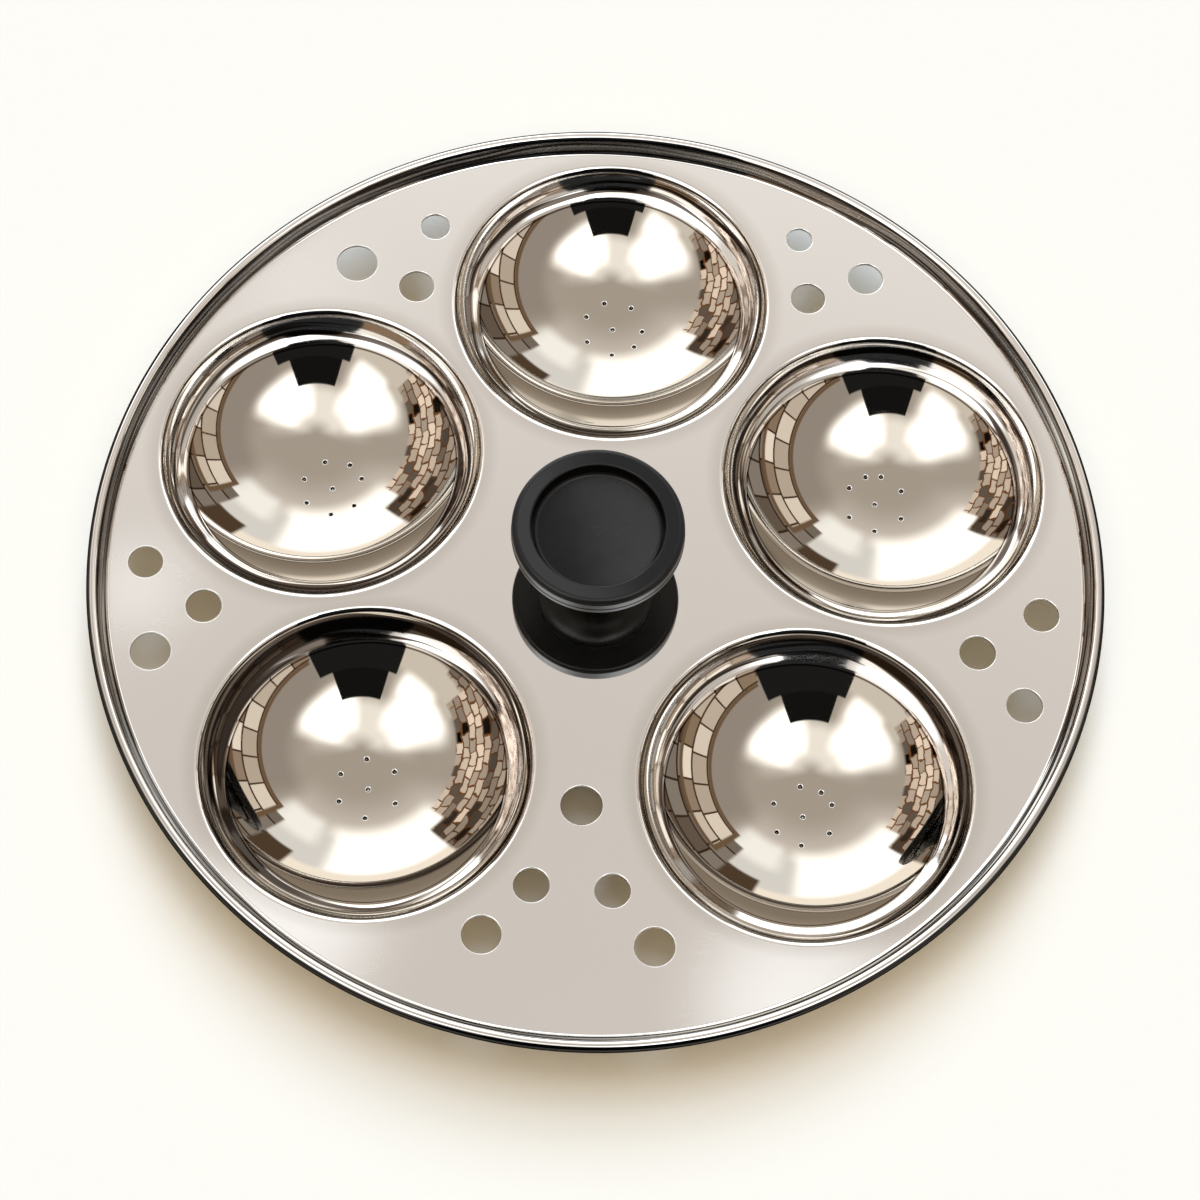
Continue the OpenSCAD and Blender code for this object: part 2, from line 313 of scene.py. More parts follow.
for at, offset, turns in zip(cup_at, pin_offsets, pin_turns):
    pins = [offset] + [(offset[0] + x, offset[1] + y) for x, y in (bearing(t, pin_ring_r) for t in turns)]
    bowl_fill = []
    for i in range(1, 12):
        for c in circle(6 * i):
            x, y = i * c
            if all(math.hypot(x - a, y - b) > pin_r + pin_edge + pin_margin for a, b in pins):
                bowl_fill.append((x, y))
    patch = Blank()
    pierced_patch(patch, [tuple(pin_patch_r * c) for c in circle(cup_parts)],
                  [(x, y, pin_r + pin_edge, pin_parts) for x, y in pins], bowl_surface, bowl_fill,
                  bowl_floor)
    for x, y in pins:
        punched_edge(patch, x, y, pin_r, pin_edge, pin_parts, bowl_surface, pin_throat)
    plate.take(patch, at)


def nodes_for(owner, kind="BsdfPrincipled", end="OutputMaterial"):
    """Empties a node tree but for one shader on its output. Gives add, which adds a node, and
    feed, which sets or links one of the shader's inputs."""
    owner.use_nodes = True
    tree = owner.node_tree
    tree.nodes.clear()
    out = tree.nodes.new("ShaderNode" + end)
    shader = tree.nodes.new("ShaderNode" + kind)
    tree.links.new(shader.outputs[0], out.inputs[0])

    def put(socket, value):
        if isinstance(value, bpy.types.NodeSocket):
            tree.links.new(value, socket)
        else:
            socket.default_value = value

    def add(kind, props=(), **inputs):
        node = tree.nodes.new("ShaderNode" + kind)
        for key, value in dict(props).items():
            setattr(node, key, value)
        for key, value in inputs.items():
            by_number = key.startswith("in") and key[2:].isdigit()
            put(node.inputs[int(key[2:]) if by_number else key], value)
        return node

    def feed(name, value):
        put(shader.inputs[name], value)

    return add, feed


def maths(add, operation, a, b=0.0, c=0.0):
    return add("Math", {"operation": operation}, in0=a, in1=b, in2=c).outputs[0]


def ramp(add, value, low, high, smooth=True):
    kind = "SMOOTHSTEP" if smooth else "LINEAR"
    return add("MapRange", {"interpolation_type": kind}, in0=value, in1=low, in2=high).outputs[0]


def mixed(add, factor, a, b):
    return add("Mix", {"data_type": "RGBA"}, in0=factor, in6=a, in7=b).outputs[2]


def noise(add, place, scale, detail):
    return add("TexNoise", Vector=place, Scale=scale, Detail=detail).outputs[0]


def banded(add, finish, start, span, ends, bands):
    """A tone that changes along the sheet, over span millimetres from start: ends are its first
    and last tone, and each band between them is its millimetres from start and its tone."""
    node = add("ValToRGB", Fac=ramp(add, finish, start, start + per_mm * span, False))
    shades = node.color_ramp.elements
    shades[0].color, shades[1].color = ((*end, 1) for end in ends)
    for mm, shade in bands:
        shades.new(mm / span).color = (*shade, 1)
    return node.outputs[0]


def stretch(add, finish, start, fade_in, fade_out, within):
    """1 on a stretch of the sheet: it fades in and out between these millimetres from start."""
    shown = within
    for fade in (fade_in, fade_out[::-1]):
        shown = maths(add, "MULTIPLY", ramp(add, finish, *(start + per_mm * mm for mm in fade)), shown)
    return shown


def streaks(add, along, across, detail):
    """Noise drawn out round the cup or the rim: along changes slowly and across quickly."""
    across = add("CombineXYZ", in0=0.0, in1=0.0, in2=across).outputs[0]
    point = add("VectorMath", {"operation": "ADD"}, in0=along, in1=across).outputs[0]
    return noise(add, point, 1.0, detail)


def marked(add, tone, zone, marks, low, high, colour):
    """Lays a colour over tone inside a zone, more as the marks pass from low to high."""
    return mixed(add, maths(add, "MULTIPLY", zone, ramp(add, marks, low, high)), tone, (*colour, 1))


# The finish of the sheet: buffed to a mirror on top, with fine hairlines from wiping and a
# haze where the buff ran light, and left dull underneath. Its colour holds painted reflections
# and shade: bright and dark bands and streaks down the cups and along the rim, a painted shade
# on the bowls, the hole walls and the deck round each mouth, and a warm tint underneath that
# stands in for warm bounce light.
deck_tones = (0.905, 0.89, 0.865, 1), (0.935, 0.92, 0.90, 1)
# Painted shade: the flat deck darkens over the last few millimetres towards each cup's mouth.
painted_mouth_shade_tone, painted_mouth_shade_share, painted_mouth_shade_reach = (0.68, 0.65, 0.61, 1), 0.5, 4
# The underside's warm tint stands in for warm bounce light, a painted light.
edge_tone, under_painted_bounce_tone, painted_hole_shade = (0.93, 0.92, 0.90, 1), (0.74, 0.66, 0.56, 1), (0.05, 0.035, 0.022, 1)
# The cups' bands, in millimetres down from the mouth, are painted reflections and shade: bright and dark
# lines down the lip, the wall and the flank, and a bowl painted a shade darker than the deck.
painted_bright_band, painted_dark_band, painted_warm_dark_band = (0.95, 0.92, 0.88), (0.08, 0.065, 0.05), (0.10, 0.07, 0.05)
lip_tone, bowl_painted_shade = (0.78, 0.76, 0.73), (0.56, 0.51, 0.445)
# The bead's outer side is painted dark, a painted shade.
rim_foot_tone, bead_painted_shade = (0.93, 0.92, 0.90), (0.2, 0.17, 0.14)
flank_painted_pale, flank_painted_mid = (0.84, 0.79, 0.72), (0.60, 0.55, 0.48)
cup_painted_bands = [(0.4, (0.93, 0.91, 0.88)), (0.8, (0.93, 0.91, 0.88)), (1.05, painted_dark_band), (1.3, painted_dark_band),
             (1.55, flank_painted_pale), (2.5, flank_painted_pale), (2.7, (0.24, 0.20, 0.17)), (2.85, painted_bright_band),
             (3.9, (0.74, 0.69, 0.62)), (4.3, (0.32, 0.27, 0.23)), (4.5, painted_bright_band), (5.9, flank_painted_mid),
             (6.3, (0.26, 0.22, 0.18)), (6.5, (0.93, 0.90, 0.86)), (8.7, (0.66, 0.61, 0.54)),
             (8.95, painted_bright_band), (9.2, painted_warm_dark_band), (9.4, painted_warm_dark_band), (9.7, bowl_painted_shade)]
# The rim's bands, in millimetres out from the deck, are painted reflections and shade: bright crests and dark
# bands over the bend, the wall and the bead.
rim_painted_bands = [(1.35, 0.95), (1.65, 0.05), (2.2, 0.22), (3.1, 0.46), (3.5, 0.46), (4.4, 0.22), (4.7, 0.04),
             (4.95, 0.05), (5.15, 0.95), (5.8, 0.95), (5.95, 0.5), (6.05, 0.85), (6.15, 0.75),
             (6.35, 0.08), (7.0, 0.04)]
# A hazy patch is (place across, place up, reach, share); a lay of hairlines is (turn, fineness, shift).
hazes = [(-66, -92, 46, 1.9), (50, -105, 48, 1.9), (-75, 70, 50, 0.75), (-108, -12, 34, 1.2)]
lays = [(0.3, 1500.0, 0.0), (1.35, 1800.0, 3.1), (2.4, 1300.0, 7.7)]

steel = bpy.data.materials.new("polished_stainless")
add, feed = nodes_for(steel)
place = add("TexCoord").outputs["Object"]
finish = add("Attribute", {"attribute_name": "finish"}).outputs["Fac"]
on_rim = ramp(add, finish, cups_end, rim_start)
in_cup = maths(add, "SUBTRACT", ramp(add, finish, rolled_edge, cup_mouth), on_rim)
on_deck = maths(add, "SUBTRACT", maths(add, "SUBTRACT", 1.0, in_cup), on_rim)
below = ramp(add, finish, on_top, under_deck)
in_hole = ramp(add, finish, under_deck, (under_deck + hole_wall) / 2)
on_edge = ramp(add, maths(add, "ABSOLUTE", maths(add, "SUBTRACT", finish, rolled_edge)), 0.3, 0.1)
flank = stretch(add, finish, cup_mouth, (1.2, 1.8), (8.4, 9.2), in_cup)
on_wall = stretch(add, finish, rim_foot, (1.6, 2.2), (4.4, 4.8), on_rim)

sway = add("TexNoise", Vector=place, Scale=38.0, Detail=1.0).outputs["Color"]
bent = add("VectorMath", {"operation": "MULTIPLY_ADD"}, in0=sway, in1=(0.02, 0.02, 0.0), in2=place).outputs[0]
hairlines = 0.0
for turn, across, shift in lays:
    lay = add("Mapping", {"vector_type": "POINT"}, Vector=bent, Location=(shift, shift, 0.0),
              Rotation=(0.0, 0.0, turn), Scale=(45.0, across, 30.0)).outputs[0]
    grain = noise(add, lay, 1.0, 1.0)
    line = ramp(add, maths(add, "ABSOLUTE", maths(add, "SUBTRACT", grain, 0.5)), 0.02, 0.004)
    wiped = noise(add, place, 60.0 + 9 * shift, 2.0)
    line = maths(add, "MULTIPLY", line, ramp(add, wiped, 0.52, 0.72))
    hairlines = maths(add, "MAXIMUM", hairlines, line)
haze = 0.0
for x, y, reach, share in hazes:
    middle = [in_metres * v for v in (x, y, deck_z)]
    span = add("VectorMath", {"operation": "DISTANCE"}, in0=place, in1=middle).outputs["Value"]
    near = maths(add, "MULTIPLY", ramp(add, span, in_metres * reach, 0.0), share)
    haze = maths(add, "MAXIMUM", haze, near)
haze = maths(add, "MULTIPLY", haze, on_deck)
from_cup = 1.0
for x, y in cup_at:
    middle = [in_metres * v for v in (x, y, deck_z)]
    span = add("VectorMath", {"operation": "DISTANCE"}, in0=place, in1=middle).outputs["Value"]
    from_cup = maths(add, "MINIMUM", from_cup, span)
# Painted shade round each cup's mouth.
painted_mouth_shade = ramp(add, from_cup, in_metres * (mouth_r + painted_mouth_shade_reach), in_metres * mouth_r)

lean = noise(add, place, 24.0, 1.0)
leant = maths(add, "MULTIPLY_ADD", lean, 4.5, maths(add, "MULTIPLY", finish, 52.0))
along = add("VectorMath", {"operation": "MULTIPLY"}, in0=place, in1=(9.0, 9.0, 0.0)).outputs[0]
ridges_and_painted_streaks = streaks(add, along, leant, 0.6)
fine = streaks(add, along, maths(add, "MULTIPLY_ADD", finish, 85.0, leant), 0.6)
lines = streaks(add, along, maths(add, "MULTIPLY_ADD", finish, 110.0, leant), 2.0)

cloud = noise(add, place, 22.0, 3.0)
tone = mixed(add, maths(add, "MULTIPLY", painted_mouth_shade, painted_mouth_shade_share), mixed(add, cloud, *deck_tones), painted_mouth_shade_tone)
tone = mixed(add, in_cup, tone, banded(add, finish, cup_mouth, 14, (lip_tone, bowl_painted_shade), cup_painted_bands))
# Painted reflections: dark and bright streaks down each flank, laid into its colour.
tone = marked(add, tone, flank, fine, 0.48, 0.42, (0.22, 0.19, 0.16))
tone = marked(add, tone, flank, fine, 0.55, 0.60, (0.95, 0.93, 0.90))
tone = marked(add, tone, flank, ridges_and_painted_streaks, 0.48, 0.42, (0.07, 0.055, 0.045))
tone = marked(add, tone, flank, ridges_and_painted_streaks, 0.53, 0.59, (0.98, 0.96, 0.93))
# The rim's colour is painted reflections and shade along its bend, wall and bead, with dark and pale painted
# streaks on the wall.
rim_painted_tone = banded(add, finish, rim_foot, 10, (rim_foot_tone, bead_painted_shade),
                  [(mm, (grey, 0.97 * grey, 0.93 * grey)) for mm, grey in rim_painted_bands])
rim_painted_tone = marked(add, rim_painted_tone, on_wall, lines, 0.50, 0.40, (0.05, 0.04, 0.035))
rim_painted_tone = marked(add, rim_painted_tone, on_wall, lines, 0.54, 0.66, (0.8, 0.77, 0.72))
tone = mixed(add, on_rim, tone, rim_painted_tone)
# The painted bands and streaks of the rim and the flanks also tint the metal's reflection there.
painted_band_tint_share = maths(add, "MAXIMUM", on_rim, maths(add, "MULTIPLY", flank, 0.45))
feed("Specular Tint", mixed(add, painted_band_tint_share, (1, 1, 1, 1), tone))
tone = mixed(add, on_edge, tone, edge_tone)
# The underside is tinted warm: painted warm bounce light, which also warms the light under the plate.
tone = mixed(add, below, tone, under_painted_bounce_tone)
# The hole walls are painted near black: painted shade inside the holes.
tone = mixed(add, in_hole, tone, painted_hole_shade)
feed("Base Color", tone)
rough = 0.025
for zone, more in ((hairlines, 0.05), (haze, 0.26), (on_wall, 0.22), (flank, 0.06), (on_edge, 0.22),
                   (below, 0.42)):
    rough = maths(add, "MULTIPLY_ADD", zone, more, rough)
feed("Roughness", rough)
feed("Metallic", 1.0)

# The press leaves a slow swell of a fifth of a millimetre in the sheet, and drawing leaves
# ridges of a few hundredths along the streaks of each flank.
swell = noise(add, place, 13.0, 1.0)
ridges = maths(add, "MULTIPLY", ridges_and_painted_streaks, flank)
pressed = add("Bump", Strength=1.0, Distance=0.00022, Height=swell).outputs[0]
pulled = add("Bump", Strength=1.0, Distance=0.00003, Height=ridges, Normal=pressed).outputs[0]
scratched = add("Bump", Strength=1.0, Distance=0.00000012, Height=hairlines, Normal=pulled).outputs[0]
feed("Normal", scratched)

idli_plate = plate.piece("pressed_plate", steel)
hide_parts("idli_plate")
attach(idli_plate, "tray")

# The screw: a zinc-plated pan head pushed up through the deck from below, with a cross recess
# for the driver and a rolled thread of 0.8 mm lead up to its chamfered end.
deck_top, deck_under = deck_z + half, deck_z - half
washer_t, spring_t = 1.0, 1.1
seat_z = deck_under - washer_t - spring_t
head_r, head_h, head_round = 4.8, 3.2, 1.2
screw_r, root_r, lead, screw_len, plain_len = 2.45, 2.12, 0.8, 12.0, 2.4
recess_half_w, recess_half_l, recess_depth = 0.55, 2.3, 1.8
screw_parts, tip_bevel = 60, 0.4
groove_floor, groove_slope, run_in, run_out, rings_a_turn = 1.35, 3.4, 1.0, 0.6, 10


def facing(co, outward):
    """Normals of a grid of points, from its own slopes, on the side that outward says."""
    along = np.gradient(co, axis=0)
    wrapped = np.concatenate([co[:, -1:], co, co[:, :1]], 1)
    across = (wrapped[:, 2:] - wrapped[:, :-2]) / 2
    n = np.cross(across, along)
    n /= np.maximum(np.linalg.norm(n, axis=2, keepdims=True), 1e-12)
    ring = circle(co.shape[1])
    out = np.concatenate([ring, np.zeros((len(ring), 1))], 1)[None]
    sign = np.sign((n * out).sum(2, keepdims=True)) * outward
    return n * np.where(sign == 0, 1, sign)


def thread(blank, low, high, crest, root, parts, outward):
    """A helical thread about the axis, running out smoothly at both ends."""
    steps = int((high - low) / lead * rings_a_turn)
    turns = np.arange(parts) / parts
    co = np.zeros((steps + 1, parts, 3))
    ring = circle(parts)
    for i in range(steps + 1):
        z = low + (high - low) * i / steps
        phase = (z / lead + turns) % 1
        cut = np.clip(groove_floor - np.abs(phase - 0.5) * groove_slope, 0, 1)
        fade = min(1.0, (z - low) / (run_in * lead), (high - z) / (run_out * lead))
        r = crest + (root - crest) * cut * max(fade, 0)
        co[i, :, 0], co[i, :, 1], co[i, :, 2] = r * ring[:, 0], r * ring[:, 1], z
    blank.grid(co, facing(co, outward), flip=outward > 0)


def arc(cx, cz, r, start, end, parts, hollow=False):
    """Points of an arc with the normals of a bulge, or of a hollow."""
    out = []
    for i in range(parts + 1):
        a = math.radians(start + (end - start) * i / parts)
        k = -1 if hollow else 1
        out.append(((cx + r * math.cos(a), cz + r * math.sin(a)), (k * math.cos(a), k * math.sin(a))))
    return out


def turned(blank, runs, parts, tags=None):
    """Spins runs of (point, normal) that go round the outside with the piece on their left."""
    for i, run in enumerate(runs):
        spin(blank, [p for p, _ in run], [n for _, n in run], parts, tag=tags[i] if tags else 0.0, flip=True)


def level(r_from, r_to, z, up):
    return [((r_from, z), (0, up)), ((r_to, z), (0, up))]


def upright(r, z_from, z_to, out=1):
    return [((r, z_from), (out, 0)), ((r, z_to), (out, 0))]


screw = Blank()
head_z = seat_z - head_h
head_flat_r = head_r - head_round
tip_z = seat_z + screw_len
bevel = math.sqrt(0.5)
turned(screw, [arc(head_r - head_round, head_z + head_round, head_round, -90, 0, 10),
               upright(head_r, head_z + head_round, seat_z),
               level(head_r, screw_r, seat_z, 1),
               upright(screw_r, seat_z, seat_z + plain_len)], screw_parts)
thread(screw, seat_z + plain_len, tip_z - tip_bevel, screw_r, root_r, screw_parts, 1)
turned(screw, [[((screw_r, tip_z - tip_bevel), (bevel, bevel)),
                ((screw_r - tip_bevel, tip_z), (bevel, bevel))],
               level(screw_r - tip_bevel, 0, tip_z, 1)], screw_parts)
w, l = recess_half_w, recess_half_l
cross = [(w, w), (l, w), (l, -w), (w, -w), (w, -l), (-w, -l),
         (-w, -w), (-l, -w), (-l, w), (-w, w), (-w, l), (w, l)]


def inside(p, loop):
    odd = False
    for (ax, ay), (bx, by) in zip(loop, loop[1:] + loop[:1]):
        if (ay > p[1]) != (by > p[1]) and p[0] < (bx - ax) * (p[1] - ay) / (by - ay) + ax:
            odd = not odd
    return odd


def flat_cut(blank, outline, cutout, z, up):
    """A level face inside outline, with the cutout left open if there is one."""
    points = [Vector(p) for p in outline] + [Vector(p) for p in cutout]
    n, m = len(outline), len(cutout)
    edges = [(i, (i + 1) % n) for i in range(n)] + [(n + i, n + (i + 1) % m) for i in range(m)]
    flat, _, tris, *_ = delaunay_2d_cdt(points, edges, [], 1, 1e-6)
    faces = []
    for t in tris:
        c = [sum(flat[i][k] for i in t) / 3 for k in (0, 1)]
        if not inside(c, outline) or (m and inside(c, cutout)):
            continue
        a, b, d = (flat[i] for i in t)
        faces.append(tuple(t) if ((b - a).cross(d - a) > 0) == (up > 0) else tuple(reversed(t)))
    blank.add([(p[0], p[1], z) for p in flat], [(0, 0, up)] * len(flat), faces)


def walls(blank, outline, low, high, out):
    """Upright walls round an outline, each flat; out is 1 where they face away from its middle."""
    edges = list(zip(outline, outline[1:] + outline[:1]))
    area = sum(a[0] * b[1] - b[0] * a[1] for a, b in edges)
    for a, b in edges:
        n = Vector((b[1] - a[1], a[0] - b[0])).normalized() * out * math.copysign(1, area)
        face = (0, 1, 2, 3) if area * out > 0 else (3, 2, 1, 0)
        blank.add([(*a, low), (*b, low), (*b, high), (*a, high)], [(n[0], n[1], 0)] * 4, [face])


head_ring = [tuple(head_flat_r * c) for c in circle(screw_parts)]
flat_cut(screw, head_ring, cross, head_z, -1)
walls(screw, cross, head_z, head_z + recess_depth, -1)
flat_cut(screw, cross, [], head_z + recess_depth, -1)

# The zinc on the screw and its washers is bright grey, with a faint bluish bloom and fine pits.
zinc = bpy.data.materials.new("plated_steel")
add, feed = nodes_for(zinc)
place = add("TexCoord").outputs["Object"]
bloom = noise(add, place, 420.0, 3.0)
feed("Base Color", mixed(add, bloom, (0.66, 0.67, 0.70, 1), (0.76, 0.75, 0.73, 1)))
feed("Roughness", ramp(add, bloom, -0.6, 2.2, False))
feed("Metallic", 1.0)
pits = noise(add, place, 3500.0, 2.0)
feed("Normal", add("Bump", Strength=1.0, Distance=0.000008, Height=pits).outputs[0])

knob_screw = screw.piece("lifting_screw", zinc)
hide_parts("knob_screw")
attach(knob_screw, "tray")

# The washers under the deck: a plain one against the sheet, and a split spring washer between
# it and the screw head, its two ends cut on a slant so that they bite.
washer_r, washer_hole_r, spring_r, split_turn, split_slant = 5.0, 2.65, 4.4, 9.0, 12.5
washer_edge, spring_edge, washer_parts = 0.12, 0.1, 96


def ring_section(inner, outer, low, high, edge):
    """The outline of a ring's section with rounded edges, as one closed run."""
    out = arc(outer - edge, low + edge, edge, -90, 0, 4) + arc(outer - edge, high - edge, edge, 0, 90, 4)
    out += arc(inner + edge, high - edge, edge, 90, 180, 4) + arc(inner + edge, low + edge, edge, 180, 270, 4)
    return out + out[:1]


plain = Blank()
turned(plain, [ring_section(washer_hole_r, washer_r, deck_under - washer_t, deck_under, washer_edge)],
       washer_parts)
plain_washer = plain.piece("flat_washer", zinc)
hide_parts("plain_washer")

spring = Blank()
section = ring_section(washer_hole_r, spring_r, seat_z, seat_z + spring_t, spring_edge)
co, no = [], []
for (r, z), (nr, nz) in section:
    first = 90 + split_turn + split_slant * ((z - seat_z) / spring_t - 0.5)
    swept = 360 - 2 * split_turn
    row = [math.radians(first + swept * i / washer_parts) for i in range(washer_parts + 1)]
    co.append([(r * math.sin(a), r * math.cos(a), z) for a in row])
    no.append([(nr * math.sin(a), nr * math.cos(a), nz) for a in row])
co, no = np.array(co), np.array(no)
spring.grid(co, no, closed=False, flip=True)
for end, next_in in ((0, 1), (-1, -2)):
    cut_face = co[:-1, end]
    corner, second, third = cut_face[0], cut_face[4], cut_face[9]
    normal = np.cross(second - corner, third - corner)
    normal /= np.linalg.norm(normal)
    order = tuple(range(len(cut_face)))
    if normal.dot(co[0, end] - co[0, next_in]) < 0:
        normal, order = -normal, order[::-1]
    spring.add(cut_face, [normal] * len(cut_face), [order])
spring_washer = spring.piece("split_washer", zinc)
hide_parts("spring_washer")
for washer in (plain_washer, spring_washer):
    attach(washer, "tray")

# The sealing ring: red-brown rubber, stamped from sheet, between the knob's foot and the deck.
# It keeps the knob's foot off the polished metal and takes up the thread's slack.
seal_t, seal_r, seal_hole_r, seal_edge, seal_parts = 1.0, 8.5, 2.7, 0.15, 120
seal = Blank()
turned(seal, [ring_section(seal_hole_r, seal_r, deck_top, deck_top + seal_t, seal_edge)], seal_parts)
rubber = bpy.data.materials.new("seal_rubber")
add, feed = nodes_for(rubber)
place = add("TexCoord").outputs["Object"]
dust = noise(add, place, 900.0, 4.0)
feed("Base Color", mixed(add, dust, (0.20, 0.045, 0.03, 1), (0.27, 0.07, 0.045, 1)))
feed("Roughness", ramp(add, dust, -1.6, 1.3, False))
feed("Normal", add("Bump", Strength=1.0, Distance=0.00002, Height=dust).outputs[0])
knob_seal = seal.piece("sealing_ring", rubber)
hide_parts("knob_seal")
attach(knob_seal, "seal")

# The insert: a turned brass hexagon with a tapped bore, which the knob is moulded round. Its
# lower end stands flush with the knob's foot, so only that end and the bore are ever seen.
foot_z = deck_top + seal_t
insert_len, insert_across, bore_r, tapped_r = 10.0, 8.0, 2.5, 2.8
neck_r, neck_len, chamfer = 3.3, 3.0, 0.3
insert_parts = 72


def hexagon(parts):
    """Points round a hexagon, with its corners among them."""
    points = []
    for x, y in circle(parts):
        off = (math.degrees(math.atan2(x, y)) + 30) % 60 - 30
        r = insert_across / 2 / math.cos(math.radians(off))
        points.append((r * x, r * y))
    return points


def hex_band(blank, round_r, z, up, parts):
    """A flat band between a round edge and the hexagon."""
    ring, outline = circle(parts), hexagon(parts)
    co = np.array([[(round_r * x, round_r * y, z) for x, y in ring], [(*p, z) for p in outline]])
    no = np.tile(np.array((0.0, 0.0, float(up))), (2, parts, 1))
    blank.grid(co, no, flip=(up > 0) != (round_r < insert_across / 2))


def hex_walls(blank, low, high, out, parts):
    """The six flats, cut into as many strips as the bands that they meet."""
    outline = hexagon(parts)
    for i, (a, b) in enumerate(zip(outline, outline[1:] + outline[:1])):
        middle = math.radians(60 * round((i + 0.5) / parts * 6))
        n = (out * math.sin(middle), out * math.cos(middle), 0)
        face = (3, 2, 1, 0) if out > 0 else (0, 1, 2, 3)
        blank.add([(*a, low), (*b, low), (*b, high), (*a, high)], [n] * 4, [face])


insert = Blank()
low, high = foot_z, foot_z + insert_len
neck_low, neck_high = low + (insert_len - neck_len) / 2, low + (insert_len + neck_len) / 2
hex_band(insert, bore_r + chamfer, low, -1, insert_parts)
hex_walls(insert, low, neck_low, 1, insert_parts)
hex_band(insert, neck_r, neck_low, 1, insert_parts)
turned(insert, [upright(neck_r, neck_low, neck_high)], insert_parts)
hex_band(insert, neck_r, neck_high, -1, insert_parts)
hex_walls(insert, neck_high, high, 1, insert_parts)
hex_band(insert, bore_r + chamfer, high, 1, insert_parts)
turned(insert, [[((bore_r, low + chamfer), (-bevel, -bevel)), ((bore_r + chamfer, low), (-bevel, -bevel))],
                [((bore_r + chamfer, high), (-bevel, bevel)), ((bore_r, high - chamfer), (-bevel, bevel))]],
       insert_parts)
thread(insert, low + chamfer, high - chamfer, bore_r, tapped_r, insert_parts, -1)

# The brass is as it left the lathe: warm, a little tarnished, with fine turning rings.
brass = bpy.data.materials.new("brass")
add, feed = nodes_for(brass)
place = add("TexCoord").outputs["Object"]
tarnish = noise(add, place, 260.0, 4.0)
feed("Base Color", mixed(add, tarnish, (0.62, 0.42, 0.16, 1), (0.83, 0.64, 0.33, 1)))
feed("Roughness", ramp(add, tarnish, -0.4, 2.0, False))
feed("Metallic", 1.0)
rings = add("TexWave", {"wave_type": "RINGS", "rings_direction": "Z"}, Vector=place, Scale=1500.0,
            Distortion=0.6)
feed("Normal", add("Bump", Strength=1.0, Distance=0.000006, Height=rings.outputs["Fac"]).outputs[0])
knob_insert = insert.piece("threaded_insert", brass)
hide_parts("knob_insert")
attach(knob_insert, "knob")

# The knob: black phenolic moulded in one shot round its insert, with a foot, a waist, a bell
# and a wide cap whose top is dished. The dish keeps the mould's pebbled skin and gate mark,
# and a flash line runs round the cap where the mould closed.
knob_h, cap_r, cap_t = 22.0, 20.2, 5.3
dish_r, dish_depth, dish_sag, bell_r, waist_r, foot_r = 16.0, 3.2, 0.35, 13.7, 7.5, 9.5
edge_r, lower_edge_r, foot_edge_r, foot_t, cove_h = 1.4, 1.0, 0.8, 2.4, 3.4
groove_w, groove_depth, bell_drop = 2.0, 0.8, 0.5
dish_edge_r, dish_corner_r, dish_draft = 0.5, 0.9, 0.5
blind_len, foot_land, knob_parts = 12.0, 0.4, 144
flash_up, flash_in, flash_h = 1.9, 0.1, 0.2
flash = [(0, 0), (0.02, 0.06), (flash_in, 0.12), (flash_in, flash_h)]
gate = [(1.5, 0.0), (1.3, 0.05), (1.0, 0.05), (0.85, -0.02), (0.4, -0.03), (0, -0.03)]
top_z, under_z = deck_top + knob_h, deck_top + knob_h - cap_t
bell_base = foot_z + foot_t + cove_h
bell_h = under_z - bell_base
floor_r = dish_r - dish_edge_r - dish_draft - dish_corner_r
dish_z, flash_z = top_z - dish_depth, under_z + flash_up


def quarter(x0, z0, wide, tall, cove, parts=16):
    """A quarter ellipse with its normals: the foot's cove, or the swell of the bell."""
    out = []
    for i in range(parts + 1):
        a = math.radians(90 * i / parts)
        near, far, side = (math.sin(a), math.cos(a), 1) if cove else (math.cos(a), math.sin(a), -1)
        rise = 1 - far if cove else far
        n = near / wide, side * far / tall
        size = math.hypot(*n)
        out.append(((x0 + wide * (1 - near), z0 + tall * rise), (n[0] / size, n[1] / size)))
    return out


def sloped(points):
    """A run with normals from its own slopes, on the outside of the piece."""
    p = np.array(points, float)
    t = np.gradient(p, axis=0)
    t /= np.linalg.norm(t, axis=1)[:, None]
    return [(tuple(a), (b[1], -b[0])) for a, b in zip(p, t)]


